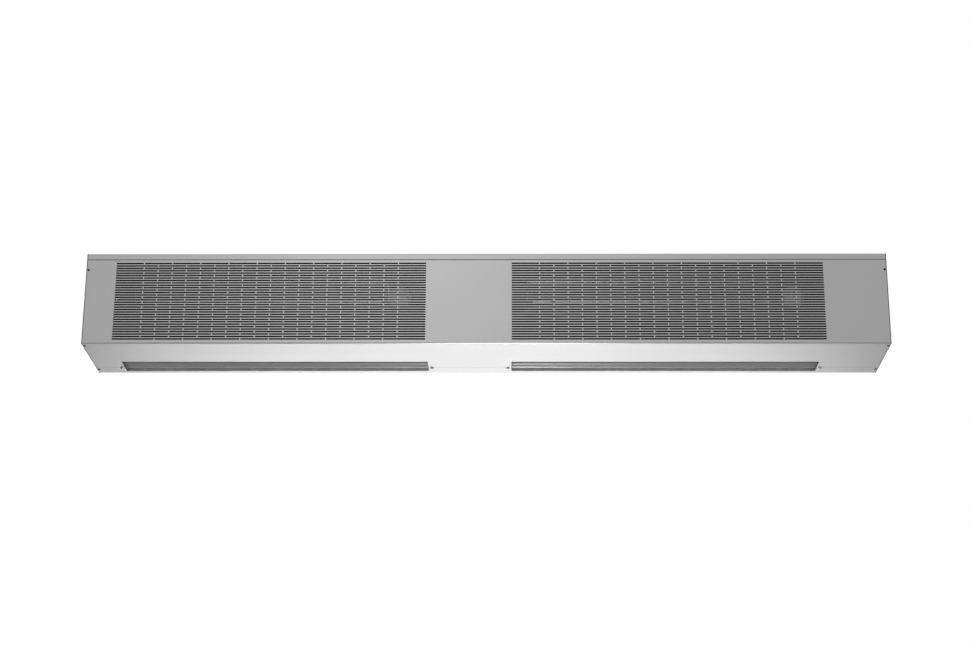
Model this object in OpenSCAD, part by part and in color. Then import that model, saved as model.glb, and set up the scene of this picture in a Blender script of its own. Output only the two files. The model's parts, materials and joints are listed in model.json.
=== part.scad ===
// Two-section air curtain for hanging over a doorway.
// Millimetres. X runs along the casing, -Y is the slotted front, +Z is up.
// The origin is the middle of the wall bolt pattern, on the back face.

/* [Casing] */
// Length of the casing over its end panels
body_l = 2020; // [1960:10:2200]
// Depth from the wall to the front face
body_d = 240; // [232:1:280]
// Height from the bottom to the top face
body_h = 240; // [236:1:280]
// Thickness of the casing and cover sheet
sheet = 1.5; // [1:0.1:2]
// Radius of the bends, at the middle of the sheet
bend_r = 2.2; // [1.8:0.1:4]
// Height of the casing's lip over the front cover
lip_h = 15.5; // [10:0.5:20]
// Width of the open seams round the end panels and the ears
seam = 0.5; // [0.3:0.1:1]
// Width of the open seam under the casing's lip
lip_gap = 0.3; // [0.2:0.1:1]
// Width of the open seam in the bottom
bottom_gap = 0.9; // [0.3:0.1:1.5]
// Distance from the wall to the seam in the bottom
bottom_seam_y = 48.5; // [40:0.5:56]
// Width of the flanges on the end panels
flange_w = 15; // [10:1:20]

/* [Sections] */
// Distance between the middles of the two sections
section_pitch = 1000; // [960:5:1040]
// Distance of the pair of sections from the middle of the casing
section_shift = -42; // [-60:1:-20]

/* [Intake slots] */
// Length of a slot and the web after it
slot_pitch = 71.5; // [66:0.5:72]
// Slots in a full row
slots_in_row = 11; // [8:1:11]
// Rows of slots, one above the other
slot_rows = 32; // [20:2:32]
// Height from one row to the next
row_pitch = 6.5; // [5.5:0.1:6.6]
// Height of a slot
slot_h = 4; // [3:0.1:4.5]
// Width of the web between two slots
slot_web = 2.5; // [2:0.1:4]
// Height of the middle of the top row
top_row_z = 93.5; // [88:0.5:96]

/* [Outlets] */
// Length of an outlet opening
outlet_l = 786; // [760:1:800]
// Distance from the wall to the outlet's back edge
outlet_back = 17; // [16:0.5:24]
// Width of the outlet from back to front
outlet_w = 76; // [70:1:80]
// Gap from the outlet's end to the bulkhead beside it
cheek_gap = 3; // [2:0.5:5]
// Distance of a cover screw from the outlet's end
ear_x = 8.5; // [8:0.5:10]
// Distance from the wall to the cover screws
ear_y = 44; // [42:0.5:46]
// Radius of the ear round a cover screw
ear_r = 8.5; // [7:0.5:9]

/* [Fan wheels] */
// Outer radius of a fan wheel
wheel_r = 55; // [50:1:56]
// Length of a fan wheel
wheel_l = 640; // [600:5:645]
// Distance from the section's middle to the wheel's bearing end
wheel_start = 352; // [345:1:360]
// Distance from the wall to the wheel's axis
axis_y = 125; // [122:1:128]
// Height of the wheel's axis
axis_z = 25; // [20:1:28]
// Blades round a wheel
blade_count = 30; // [20:1:36]
// Radius of a blade's curve
blade_curve = 13; // [11:0.5:14]
// Thickness of a blade
blade_t = 1; // [0.8:0.1:1.4]
// Radius of the open middle inside the blades
blade_inner_r = 43; // [40:1:44]
// Angle that a blade's curve turns through
blade_turn = 58; // [50:1:58]
// Discs along a wheel, its two ends among them
disc_count = 7; // [4:1:9]
// Thickness of a disc
disc_t = 2; // [1.5:0.1:3]
// Radius of the shaft
shaft_r = 5; // [4:0.5:6]
// Gap between the shaft and its bearing, all round
shaft_gap = 0.06; // [0.03:0.01:0.1]

/* [Air duct] */
// Gap from the wheel to the start of the scroll
scroll_gap = 6; // [5:0.5:8]
// Gap from the wheel to the tongue's middle line
tongue_gap = 7; // [6:0.5:9]
// Thickness of the scroll and tongue sheet
duct_t = 1.2; // [0.8:0.1:1.5]

/* [Heaters] */
// Radius of a heater tube
heater_r = 4.25; // [3.5:0.25:5]
// Radius of the fins on a heater tube
fin_r = 13; // [11:0.5:14]
// Thickness of a fin
fin_t = 0.8; // [0.5:0.1:1.2]
// Distance from one fin to the next
fin_pitch = 9; // [6:0.5:14]
// Length of the finned stretch
finned_l = 738; // [600:2:744]
// Distance from one heater tube to the next
heater_pitch = 33; // [30:0.5:34]
// Depth of the heater tubes below the casing's middle
heater_drop = 62; // [60:0.5:66]

/* [Vanes] */
// Height of a vane
vane_h = 26; // [20:1:28]
// Thickness of a vane at its edge
vane_t = 1.6; // [1.2:0.1:2.4]
// Radius of the rib that holds a vane's pins
vane_rib_r = 3.2; // [2.8:0.1:3.8]
// Height of the vane's axis over the bottom face
vane_lift = 14.5; // [13.5:0.5:17]
// Distance from the outlet's front edge to a vane and between the vanes
vane_pitch = 25; // [23:0.5:26]
// Radius of a vane's pin
vane_pin_r = 2.5; // [2:0.1:2.6]
// Gap round a pin in its bush
pin_gap = 0.08; // [0.04:0.01:0.1]
// Distance from a vane's axis to its crank pin
crank_r = 9; // [8:0.5:9.5]
// Radius of a crank pin
crank_pin_r = 1.5; // [1.2:0.1:1.8]

/* [Fixings] */
// Radius of the holes for the wall and ceiling bolts
bolt_hole_r = 4.5; // [3.5:0.5:5.5]
// Distance between the outer wall bolts along the casing
wall_bolts_x = 1950; // [1940:1:1956]
// Distance between the upper and lower wall bolts
wall_bolts_z = 170; // [120:5:190]
// Distance between the front and back ceiling bolts
ceiling_bolts_y = 120; // [80:5:140]
// Radius of the pan screws' heads
screw_head_r = 4; // [3.5:0.1:4.5]
// Height of the pan screws' heads
screw_head_h = 3.2; // [2:0.1:4]
// Radius of the screws' threads
screw_r = 2; // [1.5:0.1:2.2]
// Radius of the opening through the cable grommet
cable_r = 7; // [5:0.5:8]

/* [Hidden] */
$fn = 64;

LEFT = 0;
RIGHT = 1;
steel = "silver";
zinc = "lightslategray";
black = [0.12, 0.12, 0.13];

// Faces of the casing
half_l = body_l / 2;
front_y = -body_d;
top_z = body_h / 2;
bottom_z = -body_h / 2;
inner_front = front_y + sheet;
inner_top = top_z - sheet;
inner_bottom = bottom_z + sheet;
shell_end = half_l - sheet - seam;
lip_bottom = top_z - lip_h;

// Gap round a screw in a sheet that it clamps, and the smaller screws of the end panels
screw_clearance = 0.2;
small_screw_r = screw_r - 0.4;
small_head_r = screw_head_r * 0.75;
small_head_h = screw_head_h * 0.5;

// Outlets and bulkheads, seen from a section's middle
outlet_half = outlet_l / 2;
cheek_x = outlet_half + cheek_gap;
outlet_back_y = -outlet_back;
outlet_front_y = -outlet_back - outlet_w;
ear_foot = 22;
foot_w = 2 * ear_x + 4;

// Wheel and duct
wheel_y = -axis_y;
wheel_stop = wheel_l - wheel_start;
duct_set = 1;
scroll_first = -30;
scroll_last = 90;
scroll_step = 4;
scroll_r0 = wheel_r + scroll_gap;
scroll_r1 = axis_y - outlet_back + duct_set;
scroll_rate = ln(scroll_r1 / scroll_r0) / (scroll_last - scroll_first);
duct_wall_y = wheel_y + scroll_r1;
tongue_first = -115;
tongue_last = -145;
hub_r = 14;
hub_l = 12;

// Vanes
vane_z = bottom_z + vane_lift;
vane_y = [outlet_front_y + vane_pitch, outlet_front_y + 2 * vane_pitch];
vane_end = cheek_x - 5;
bush_flange_t = 1;
bush_end = cheek_x + sheet + 1;

// Heaters
heater_z = -heater_drop;
heater_set = 18;
heater_stub = 24;
heater_y = [for (i = [0:2]) outlet_back_y - heater_set - i * heater_pitch];
heater_end = cheek_x + heater_stub;

// Motor
motor_gap = 6;
motor_r = 44;
motor_l = 54;
motor_x = wheel_stop + motor_gap;

function section_x(s) = section_shift + (s - 0.5) * section_pitch;
// A point at an angle from straight up, turning towards the wall
function round_axis(angle, r) = [wheel_y + r * sin(angle), axis_z + r * cos(angle)];
function scroll_r(angle) = scroll_r0 * exp(scroll_rate * (angle - scroll_first));
function unit(v) = v / norm(v);
function left_of(v) = [-v[1], v[0]];

// Extrudes a [y, z] outline along the casing
module along_x(x0, x1) translate([x0, 0, 0]) rotate([90, 0, 90]) linear_extrude(x1 - x0) children();
// Extrudes an [x, z] outline towards the wall
module along_y(y0, y1) translate([0, y1, 0]) rotate([90, 0, 0]) linear_extrude(y1 - y0) children();
module along_z(z0, z1) translate([0, 0, z0]) linear_extrude(z1 - z0) children();
// A round bar along X, Y or Z
module bar_x(r, x0, x1, y, z) translate([x0, y, z]) rotate([0, 90, 0]) cylinder(r = r, h = x1 - x0);
module bar_y(r, y0, y1, x, z) translate([x, y1, z]) rotate([90, 0, 0]) cylinder(r = r, h = y1 - y0);
module bar_z(r, z0, z1, x, y) translate([x, y, z0]) cylinder(r = r, h = z1 - z0);

// Folded sheet in section: straight runs between the points and a round bend at each inner one
module folded(points, t, bend)
    polygon(concat(sheet_side(points, t / 2, bend), reverse(sheet_side(points, -t / 2, bend))));
bend_steps = 6;
function turn_at(points, i) =
    let (u = unit(points[i] - points[i - 1]), v = unit(points[i + 1] - points[i]))
    atan2(u[0] * v[1] - u[1] * v[0], u * v);
// The points along one side of the sheet, a distance to the left of the line through the points
function sheet_side(points, offset, bend) = let (last = len(points) - 1) concat(
    [points[0] + left_of(unit(points[1] - points[0])) * offset],
    [for (i = [1:last - 1]) each bend_side(points, i, offset, bend)],
    [points[last] + left_of(unit(points[last] - points[last - 1])) * offset]);
function bend_side(points, i, offset, bend) =
    let (turn = turn_at(points, i), u = unit(points[i] - points[i - 1]), inward = left_of(u) * sign(turn),
         centre = points[i] - u * bend * tan(abs(turn) / 2) + inward * bend,
         r = bend - offset * sign(turn))
    [for (k = [0:bend_steps]) centre + turned(-inward * r, turn * k / bend_steps)];
function turned(v, angle) = [v[0] * cos(angle) - v[1] * sin(angle), v[0] * sin(angle) + v[1] * cos(angle)];
function reverse(list) = [for (i = [len(list) - 1:-1:0]) list[i]];

// ---- Casing ----
module rear_casing() {
    mid = sheet / 2;
    bottom_edge = -bottom_seam_y + bottom_gap;
    color(steel) difference() {
        along_x(-shell_end, shell_end) folded([
            [bottom_edge, bottom_z + mid], [-mid, bottom_z + mid], [-mid, top_z - mid],
            [front_y + mid, top_z - mid], [front_y + mid, lip_bottom]], sheet, bend_r);
        for (s = [LEFT, RIGHT]) translate([section_x(s), 0, 0]) {
            outlet_cut(outlet_back_y);
            for (side = [-1, 1]) ear_notch(side);
        }
        wall_holes();
        ceiling_holes();
        for (x = [-1, 1] * corner_x) screw_hole(x, corner_y[1], small_screw_r);
        bar_z(cable_r + grommet_wall, inner_top - 1, top_z + 1, grommet_x, grommet_y);
    }
}
module outlet_cut(back_edge)
    translate([-outlet_half, outlet_front_y, bottom_z - 1])
        cube([outlet_l, back_edge - outlet_front_y, sheet + 2]);
module screw_hole(x, y, r) bar_z(r + screw_clearance, bottom_z - 1, inner_bottom + 1, x, y);
module ear_notch(side) along_z(bottom_z - 1, inner_bottom + 1) {
    translate([side * (outlet_half + ear_x), -ear_y]) circle(ear_r + seam);
    translate([side * (outlet_half + ear_x) - ear_r - seam, -bottom_seam_y])
        square([2 * (ear_r + seam), bottom_seam_y - ear_y]);
}
module wall_holes()
    for (z = [-1, 1] * wall_bolts_z / 2) for (x = [-wall_bolts_x / 2, 0, wall_bolts_x / 2])
        bar_y(bolt_hole_r, -sheet - 1, 1, x, z);
module ceiling_holes()
    for (y = [-1, 1] * ceiling_bolts_y / 2) for (x = [-1, 1] * wall_bolts_x / 2)
        bar_z(bolt_hole_r, inner_top - 1, top_z + 1, x, -body_d / 2 + y);

field_l = slots_in_row * slot_pitch - slot_web;
hook_h = 11;
lip_step = 2;
plate_top = lip_bottom - lip_gap - 3 * lip_step;
plate_bottom = bottom_z + sheet / 2 + bend_r;
front_screw_z = 76.5;
// Where a row's slots begin: full pitches, or one and a half at both ends of every second row
function slot_starts(row) = row % 2 == 0
    ? [for (i = [0:slots_in_row]) i * slot_pitch]
    : concat([0], [for (i = [1:slots_in_row - 2]) (i + 0.5) * slot_pitch], [slots_in_row * slot_pitch]);
module slot_field()
    for (row = [0:slot_rows - 1]) {
        starts = slot_starts(row);
        for (i = [0:len(starts) - 2])
            translate([starts[i] - field_l / 2, top_row_z - row * row_pitch - slot_h / 2])
                square([starts[i + 1] - starts[i] - slot_web, slot_h]);
    }
module front_cover() {
    mid = sheet / 2;
    color(steel) union() {
        along_y(front_y, front_y + sheet) difference() {
            translate([-shell_end, plate_bottom]) square([2 * shell_end, plate_top - plate_bottom]);
            for (s = [LEFT, RIGHT]) translate([section_x(s), 0]) slot_field();
            for (x = [-1, 1] * corner_x) translate([x, front_screw_z])
                circle(small_screw_r + screw_clearance);
        }
        // The top edge steps back behind the casing's lip
        along_x(-shell_end, shell_end) folded([
            [front_y + mid, plate_top], [front_y + mid, lip_bottom - lip_gap - lip_step],
            [front_y + mid + sheet, lip_bottom - lip_gap], [front_y + mid + sheet, lip_bottom + hook_h]],
            sheet, bend_r / 2 + mid / 2);
        difference() {
            union() {
                along_x(-shell_end, shell_end) folded([
                    [front_y + mid, plate_bottom], [front_y + mid, bottom_z + mid],
                    [-bottom_seam_y, bottom_z + mid]], sheet, bend_r);
                for (s = [LEFT, RIGHT]) for (side = [-1, 1])
                    translate([section_x(s), 0, 0]) cover_ear(side);
            }
            for (s = [LEFT, RIGHT]) translate([section_x(s), 0, 0]) {
                outlet_cut(-bottom_seam_y + 1);
                for (side = [-1, 1]) screw_hole(side * (outlet_half + ear_x), -ear_y, screw_r);
            }
            for (x = [-1, 1] * corner_x) screw_hole(x, corner_y[0], small_screw_r);
        }
    }
}
module cover_ear(side) along_z(bottom_z, inner_bottom) {
    translate([side * (outlet_half + ear_x), -ear_y]) circle(ear_r);
    translate([side * (outlet_half + ear_x) - ear_r, -bottom_seam_y - 1])
        square([2 * ear_r, bottom_seam_y - ear_y + 1]);
}

corner_x = half_l - sheet - 4;
corner_y = [front_y + 18, -31];
flange_inset = 7;
cover_clear = 8;
module end_panel() {
    difference() {
        union() {
            along_x(half_l - sheet, half_l)
                translate([front_y, bottom_z]) square([body_d, body_h]);
            translate([half_l - sheet - flange_w, front_y + flange_inset, inner_top - sheet])
                cube([flange_w, body_d - 2 * flange_inset, sheet]);
            translate([half_l - sheet - flange_w, -2 * sheet, bottom_z + flange_inset])
                cube([flange_w, sheet, body_h - 2 * flange_inset]);
            translate([half_l - sheet - flange_w, front_y + flange_inset, inner_bottom])
                cube([flange_w, body_d - 2 * flange_inset, sheet]);
            // Flange behind the front cover, clear of the cover's bend and step
            translate([half_l - sheet - flange_w, inner_front, plate_bottom + cover_clear])
                cube([flange_w, sheet, plate_top - plate_bottom - 2 * cover_clear]);
        }
        for (y = corner_y) bar_z(small_screw_r, bottom_z - 1, inner_bottom + sheet + 1, corner_x, y);
        bar_y(small_screw_r, front_y - 1, inner_front + sheet + 1, corner_x, front_screw_z);
    }
}
module end_panel_left() color(steel) mirror([1, 0, 0]) end_panel();
module end_panel_right() color(steel) end_panel();

// ---- Fixings: a pan head with a cross recess, its shank along -Z, its seat at the origin ----
module pan_screw(head_r, head_h, r, shank) {
    difference() {
        rotate_extrude() polygon([[0, 0], [head_r, 0], [head_r, head_h * 0.45],
            [head_r * 0.8, head_h * 0.85], [head_r * 0.45, head_h], [0, head_h]]);
        for (turn = [0, 90]) rotate([0, 0, turn])
            translate([-head_r * 0.5, -0.5, head_h * 0.5]) cube([head_r, 1, head_h]);
    }
    translate([0, 0, -shank]) cylinder(r = r, h = shank);
}
cover_screw_l = 9;
module cover_screws() color(steel) for (s = [LEFT, RIGHT]) for (side = [-1, 1])
    translate([section_x(s) + side * (outlet_half + ear_x), -ear_y, bottom_z])
        rotate([180, 0, 0]) pan_screw(screw_head_r, screw_head_h, screw_r, cover_screw_l);
small_screw_l = 7;
module small_screw() pan_screw(small_head_r, small_head_h, small_screw_r, small_screw_l);
module front_screws() color(black) for (x = [-1, 1] * corner_x)
    translate([x, front_y, front_screw_z]) rotate([90, 0, 0]) small_screw();
module corner_screws() color(black) for (x = [-1, 1] * corner_x) for (y = corner_y)
    translate([x, y, bottom_z]) rotate([180, 0, 0]) small_screw();

// ---- Cable entry: a grommet in the top of the control bay ----
grommet_wall = 3;
grommet_lip = 3;
grommet_slope = 1;
grommet_x = (section_x(RIGHT) + cheek_x + half_l) / 2;
grommet_y = -60;
module cable_grommet() color(black) translate([grommet_x, grommet_y, 0]) rotate_extrude() {
    waist = cable_r + grommet_wall;
    rim = waist + grommet_lip;
    polygon([[cable_r, top_z + grommet_lip], [rim - grommet_slope, top_z + grommet_lip], [rim, top_z],
        [waist, top_z], [waist, inner_top], [rim, inner_top],
        [rim - grommet_slope, inner_top - grommet_lip], [cable_r, inner_top - grommet_lip]]);
}

// ---- Bulkheads: one at each end of a section, flanged away from it ----
// Its front edge steps back behind the cover's hook and is cut off over the bend
hook_relief = 2;
hook_clear = 8;
bend_clear = 6;
flange_l = 150;
window = [46, 60];
window_y = inner_front + 8;
window_z = -40;
module bulkhead(centre_hole) {
    hook_y = inner_front + sheet + hook_relief;
    difference() {
        union() {
            along_x(cheek_x, cheek_x + sheet) polygon([
                [-sheet, inner_bottom], [-sheet, inner_top], [hook_y, inner_top],
                [hook_y, lip_bottom - hook_clear], [inner_front, lip_bottom - hook_clear - 2 * hook_relief],
                [inner_front, inner_bottom + bend_clear], [inner_front + bend_clear, inner_bottom]]);
            // Foot under the cover screw, top flange and back flange
            along_z(inner_bottom, inner_bottom + sheet)
                translate([cheek_x, -ear_y - ear_foot / 2]) square([foot_w, ear_foot]);
            along_z(inner_top - sheet, inner_top)
                translate([cheek_x, -(body_d + flange_l) / 2]) square([foot_w, flange_l]);
            along_y(-2 * sheet, -sheet)
                translate([cheek_x, -flange_l / 2]) square([foot_w, flange_l]);
        }
        bar_x(centre_hole, cheek_x - 1, cheek_x + sheet + 1, wheel_y, axis_z);
        for (y = heater_y) bar_x(heater_r, cheek_x - 1, cheek_x + sheet + 1, y, heater_z);
        for (y = vane_y) bar_x(bush_r, cheek_x - 1, cheek_x + sheet + 1, y, vane_z);
        // Cable window near the front
        along_x(cheek_x - 1, cheek_x + sheet + 1) translate([window_y, window_z]) square(window);
        bar_z(screw_r, inner_bottom - 1, inner_bottom + sheet + 1, outlet_half + ear_x, -ear_y);
    }
}
rubber_r = 17;
module bulkhead_left_outer() at_section(LEFT, -1) color(zinc) bulkhead(rubber_r);
module bulkhead_left_inner() at_section(LEFT, 1) color(zinc) bulkhead(leg_hole);
module bulkhead_right_inner() at_section(RIGHT, -1) color(zinc) bulkhead(rubber_r);
module bulkhead_right_outer() at_section(RIGHT, 1) color(zinc) bulkhead(leg_hole);
leg_hole = 12;
// Moves a piece to a section, mirrored to its bearing end for side -1
module at_section(s, side) translate([section_x(s), 0, 0])
    mirror([side < 0 ? 1 : 0, 0, 0]) children();

// ---- Air duct: the scroll behind the wheel and the tongue in front of it ----
module scroll() {
    angles = [scroll_first:scroll_step:scroll_last];
    inner = [for (a = angles) round_axis(a, scroll_r(a))];
    outer = [for (a = angles) if (a > scroll_first) round_axis(a, scroll_r(a) + duct_t)];
    hem_y = inner[0][0] + duct_t;
    color(zinc) along_x(-cheek_x, cheek_x) polygon(concat(
        [[inner[0][0], inner_top]], inner, [[duct_wall_y, inner_bottom], [foot_end, inner_bottom],
        [foot_end, inner_bottom + duct_t], [duct_wall_y + duct_t, inner_bottom + duct_t]], reverse(outer),
        [[hem_y, inner[0][1] + 2 * duct_t], [hem_y, inner_top]]));
}
foot_end = -sheet - 3;
module scroll_left() at_section(LEFT, 1) scroll();
module scroll_right() at_section(RIGHT, 1) scroll();

tongue_hem = [-11, -9];
tongue_rise = 28;
module tongue() {
    gap_r = wheel_r + tongue_gap;
    tip = round_axis(tongue_first, gap_r);
    heel = round_axis(tongue_last, gap_r);
    lip_y = outlet_front_y - duct_set - duct_t / 2;
    color(zinc) along_x(-cheek_x, cheek_x) folded([
        tip + tongue_hem, tip, heel, [lip_y, bottom_z + tongue_rise], [lip_y, inner_bottom]], duct_t, bend_r);
}
module tongue_left() at_section(LEFT, 1) tongue();
module tongue_right() at_section(RIGHT, 1) tongue();

// ---- Heaters: three finned tubes across the duct of each section ----
fin_count = floor(finned_l / fin_pitch);
module heater(y) translate([0, y, heater_z]) rotate([0, 90, 0]) rotate_extrude() polygon(concat(
    [[0, -heater_end], [heater_r, -heater_end]],
    [for (i = [0:fin_count - 1]) let (x = (i - (fin_count - 1) / 2) * fin_pitch)
        each [[heater_r, x - fin_t / 2], [fin_r, x - fin_t / 2], [fin_r, x + fin_t / 2], [heater_r, x + fin_t / 2]]],
    [[heater_r, heater_end], [0, heater_end]]));
module heaters_left() at_section(LEFT, 1) color("dimgray") for (y = heater_y) heater(y);
module heaters_right() at_section(RIGHT, 1) color("dimgray") for (y = heater_y) heater(y);
nut_h = 4;
nut_wall = 4;
module heater_nuts() color(zinc) for (y = heater_y) for (side = [-1, 1])
    mirror([side < 0 ? 1 : 0, 0, 0]) translate([cheek_x + sheet, y, heater_z]) rotate([0, 90, 0])
        difference() {
            cylinder(r = heater_r + nut_wall, h = nut_h, $fn = 6);
            translate([0, 0, -1]) cylinder(r = heater_r, h = nut_h + 2);
        }
module heater_nuts_left() at_section(LEFT, 1) heater_nuts();
module heater_nuts_right() at_section(RIGHT, 1) heater_nuts();
// Comb that holds the tubes halfway along, between two fins, and stands off the scroll
comb_t = 1.5;
comb_half_h = 14;
comb_cut = 12;
comb_x = fin_count % 2 == 0 ? 0 : fin_pitch / 2;
module heater_comb() color(zinc) along_x(comb_x - comb_t / 2, comb_x + comb_t / 2) difference() {
    front = heater_y[2] - fin_r;
    low = heater_z - comb_half_h;
    high = heater_z + comb_half_h;
    polygon([[duct_wall_y, low], [front + comb_cut, low], [front, low + comb_cut], [front, high],
        [duct_wall_y, high]]);
    for (y = heater_y) translate([y, heater_z]) circle(heater_r);
}
module heater_comb_left() at_section(LEFT, 1) heater_comb();
module heater_comb_right() at_section(RIGHT, 1) heater_comb();

// ---- Bearings: a bush in a rubber ring that sits in the bulkhead ----
bearing_r = 11;
bearing_l = 14;
module on_wheel_axis(x) translate([x, wheel_y, axis_z]) rotate([0, 90, 0]) children();
module bearing() on_wheel_axis(-cheek_x - sheet / 2 - bearing_l / 2) rotate_extrude() polygon([
    [shaft_r + shaft_gap, 0], [bearing_r - 2, 0], [bearing_r, 2],
    [bearing_r, bearing_l - 2], [bearing_r - 2, bearing_l], [shaft_r + shaft_gap, bearing_l]]);
module bearing_left() at_section(LEFT, 1) color("darkgoldenrod") bearing();
module bearing_right() at_section(RIGHT, 1) color("darkgoldenrod") bearing();
rubber_lip = 2.5;
rubber_rim_r = rubber_r + 3;
module bearing_rubber() on_wheel_axis(-cheek_x - sheet) rotate_extrude() polygon([
    [bearing_r, -rubber_lip], [rubber_rim_r, -rubber_lip], [rubber_rim_r, 0], [rubber_r, 0],
    [rubber_r, sheet], [rubber_rim_r, sheet], [rubber_rim_r, sheet + rubber_lip],
    [bearing_r, sheet + rubber_lip]]);
module bearing_rubber_left() at_section(LEFT, 1) color(black) bearing_rubber();
module bearing_rubber_right() at_section(RIGHT, 1) color(black) bearing_rubber();

// ---- Motors: each drives its wheel directly and stands on a four-legged bracket ----
boss_r = 12;
boss_l = 3;
shaft_in_motor = 30;
bell_r = motor_r - 2;
bell_l = 16;
bell_round = 5;
rib_count = 24;
rib_t = 2;
rib_h = 2.5;
module motor() on_wheel_axis(motor_x) union() {
    rotate_extrude() polygon([
        [shaft_r + shaft_gap, 0], [boss_r, 0], [boss_r, boss_l], [bell_r - bell_round, boss_l],
        [bell_r, boss_l + bell_round], [bell_r, boss_l + bell_l], [motor_r, boss_l + bell_l],
        [motor_r, motor_l - bell_l], [bell_r, motor_l - bell_l], [bell_r, motor_l - bell_round],
        [bell_r - bell_round, motor_l], [0, motor_l], [0, shaft_in_motor + 2],
        [shaft_r + shaft_gap, shaft_in_motor + 2]]);
    // Cooling ribs round the stator
    for (i = [0:rib_count - 1]) rotate([0, 0, i * 360 / rib_count])
        translate([motor_r - 1, -rib_t / 2, boss_l + bell_l + 1])
            cube([rib_h + 1, rib_t, motor_l - boss_l - 2 * bell_l - 2]);
}
module motor_left() at_section(LEFT, 1) color("gray") motor();
module motor_right() at_section(RIGHT, 1) color("gray") motor();
leg_r = 4;
leg_ring = 34;
module motor_bracket() {
    plate_x = motor_x + motor_l;
    color(zinc) union() {
        along_x(plate_x, plate_x + 2) difference() {
            translate([wheel_y, axis_z]) circle(motor_r);
            translate([wheel_y, axis_z]) circle(leg_hole);
        }
        for (turn = [45:90:315]) bar_x(leg_r, plate_x + 2, cheek_x,
            wheel_y + leg_ring * sin(turn), axis_z + leg_ring * cos(turn));
    }
}
module motor_bracket_left() at_section(LEFT, 1) motor_bracket();
module motor_bracket_right() at_section(RIGHT, 1) motor_bracket();
cap_r = 15;
cap_l = 62;
cap_stand = 6;
clip_wall = 2;
clip_h = 12;
cap_x = cheek_x + foot_w + cap_r + 2 * clip_wall;
cap_y = -sheet - cap_r - cap_stand;
cap_z = -75;
tab = [0.8, 6.3, 8];
tab_gap = 3.7;
module capacitor() translate([cap_x, cap_y, cap_z]) {
    color("whitesmoke") cylinder(r = cap_r, h = cap_l);
    for (side = [0, 1]) mirror([0, side, 0]) translate([-tab[0] / 2, tab_gap / 2, cap_l]) cube(tab);
    // Clip that holds it to the back
    translate([-cap_r - clip_wall, -cap_r / 3, cap_l / 3]) difference() {
        cube([2 * (cap_r + clip_wall), cap_r + cap_stand + cap_r / 3, clip_h]);
        translate([cap_r + clip_wall, cap_r / 3, -1]) cylinder(r = cap_r, h = clip_h + 2);
    }
}
module capacitor_left() at_section(LEFT, 1) capacitor();
module capacitor_right() at_section(RIGHT, 1) capacitor();
// A round bend of a cable: it starts at the origin along +X and turns towards +Y
module elbow(r, bend) translate([0, bend, 0]) rotate([0, 0, -90])
    rotate_extrude(angle = 90) translate([bend, 0]) circle(r);
lead_r = 2.5;
lead_bend = 15;
// Runs from the motor through the bulkhead and down to the front tab of the capacitor
module motor_lead() color(black) union() {
    tab_z = cap_z + cap_l + tab[2] / 2;
    tab_y = cap_y - tab_gap / 2 - tab[1];
    bar_x(lead_r, motor_x + motor_l, cap_x - lead_bend, wheel_y, axis_z);
    translate([cap_x - lead_bend, wheel_y, axis_z]) rotate([-90, 0, 0]) elbow(lead_r, lead_bend);
    bar_z(lead_r, tab_z + lead_bend, axis_z - lead_bend, cap_x, wheel_y);
    translate([cap_x, wheel_y, tab_z + lead_bend]) rotate([0, 90, 0]) elbow(lead_r, lead_bend);
    bar_y(lead_r, wheel_y + lead_bend, tab_y, cap_x, tab_z);
}
module motor_lead_left() at_section(LEFT, 1) motor_lead();
module motor_lead_right() at_section(RIGHT, 1) motor_lead();
cutout_y = -150;
cutout_z = -40;
cutout_r = 8;
cutout_flange = 2;
cutout_l = 11;
module thermal_cutout() translate([cheek_x + sheet, cutout_y, cutout_z]) rotate([0, 90, 0]) color("peru") {
    cylinder(r = cutout_r, h = cutout_flange);
    cylinder(r = cutout_r * 0.8, h = cutout_l);
    for (side = [0, 1]) mirror([0, side, 0])
        translate([-tab[1] / 2, cutout_r * 0.4, cutout_l]) cube([tab[1], tab[0], tab[2]]);
}
module thermal_cutout_left() at_section(LEFT, 1) thermal_cutout();
module thermal_cutout_right() at_section(RIGHT, 1) thermal_cutout();

// ---- Fan wheels: curved blades between discs, driven from the motor's end ----
module blade() intersection() {
    translate([blade_inner_r, blade_curve]) difference() {
        circle(blade_curve + blade_t / 2);
        circle(blade_curve - blade_t / 2);
    }
    translate([blade_inner_r, blade_curve]) polygon([[0, 0], [0, -2 * blade_curve],
        [2 * blade_curve, -2 * blade_curve],
        2 * blade_curve * [sin(blade_turn), -cos(blade_turn)]]);
}
module fan_wheel() on_wheel_axis(-wheel_start) union() {
    linear_extrude(wheel_l) for (i = [0:blade_count - 1]) rotate(i * 360 / blade_count) blade();
    for (i = [0:disc_count - 1])
        translate([0, 0, i * (wheel_l - disc_t) / (disc_count - 1)]) linear_extrude(disc_t) difference() {
            circle(wheel_r);
            circle(i == 0 || i == disc_count - 1 ? hub_r - 2 : blade_inner_r - 4);
        }
    for (z = [disc_t, wheel_l - disc_t - hub_l]) translate([0, 0, z]) hub();
    for (z = [0, wheel_l - disc_t]) translate([0, 0, z]) linear_extrude(disc_t) difference() {
        circle(hub_r);
        circle(shaft_r);
    }
}
module hub() linear_extrude(hub_l) difference() {
    circle(hub_r);
    circle(shaft_r);
}
module fan_wheel_left() at_section(LEFT, 1) color("gainsboro") fan_wheel();
module fan_wheel_right() at_section(RIGHT, 1) color("gainsboro") fan_wheel();
shaft_past_bearing = 5;
module wheel_shafts() {
    bearing_end = cheek_x + sheet / 2 + bearing_l / 2 + shaft_past_bearing;
    on_wheel_axis(-bearing_end) cylinder(r = shaft_r, h = bearing_end - wheel_start + disc_t + hub_l);
    on_wheel_axis(wheel_stop - disc_t - hub_l)
        cylinder(r = shaft_r, h = disc_t + hub_l + motor_gap + shaft_in_motor);
}
module wheel_shafts_left() at_section(LEFT, 1) color("silver") wheel_shafts();
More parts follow.
